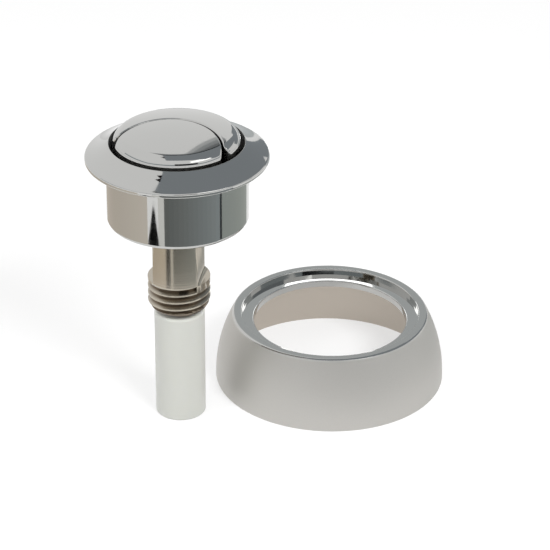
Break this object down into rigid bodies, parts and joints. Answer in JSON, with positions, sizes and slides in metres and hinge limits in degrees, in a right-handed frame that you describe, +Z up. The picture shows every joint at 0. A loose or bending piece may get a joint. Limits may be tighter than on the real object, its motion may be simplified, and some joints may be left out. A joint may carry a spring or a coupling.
{
  "type": "push button cistern actuator",
  "caption": "Dual-flush push button for a cistern lid: chrome head with lens and crescent buttons, threaded stem, white push rod, and a loose bell-shaped lid collar.",
  "frame": {"origin": "centre of the lower end of the inner pin and the push rod, on the level that the collar rests on", "axes": "+Z up along the head's axis towards the buttons; -Y is the side of the full-flush button; the collar rests towards +X and +Y"},
  "size_m": [0.0871, 0.0809, 0.0817],
  "materials": {
    "chrome": "polished chrome plate",
    "nickel": "turned, nickel plated",
    "white_plastic": "natural white polypropylene",
    "slider_plastic": "moulded dark acetal",
    "steel": "bright stainless steel"
  },
  "bodies": {
    "fixed": {"housing": "chrome", "threaded_stem": "nickel", "stem_washer": "steel", "stem_nut": "nickel", "guide_pin_left": "steel", "guide_pin_right": "steel", "guide_pin_rear": "steel", "guide_clip_left": "steel", "guide_clip_right": "steel", "guide_clip_rear": "steel", "lid_collar": "chrome", "full_flush_spring_left": "steel", "full_flush_spring_right": "steel", "half_flush_spring": "steel"},
    "full_flush": {"full_flush_button": "chrome", "full_flush_slider": "slider_plastic", "full_flush_pin": "steel", "full_pin_clip": "steel", "full_button_screws": "steel"},
    "half_flush": {"half_flush_button": "chrome", "half_flush_slider": "slider_plastic", "half_flush_tube": "nickel", "half_tube_clip": "steel", "half_button_screws": "steel", "push_rod": "white_plastic"}
  },
  "joints": [
    {"name": "full_flush_press", "type": "slide", "parent": "fixed", "child": "full_flush", "axis": [0, 0, -1], "range_m": [0, 0.005], "stiffness_N_per_m": 300, "springref_m": -0.01, "deforming": ["full_flush_spring_left", "full_flush_spring_right"]},
    {"name": "half_flush_press", "type": "slide", "parent": "fixed", "child": "half_flush", "axis": [0, 0, -1], "range_m": [0, 0.005], "stiffness_N_per_m": 300, "springref_m": -0.01, "deforming": ["half_flush_spring"]}
  ]
}
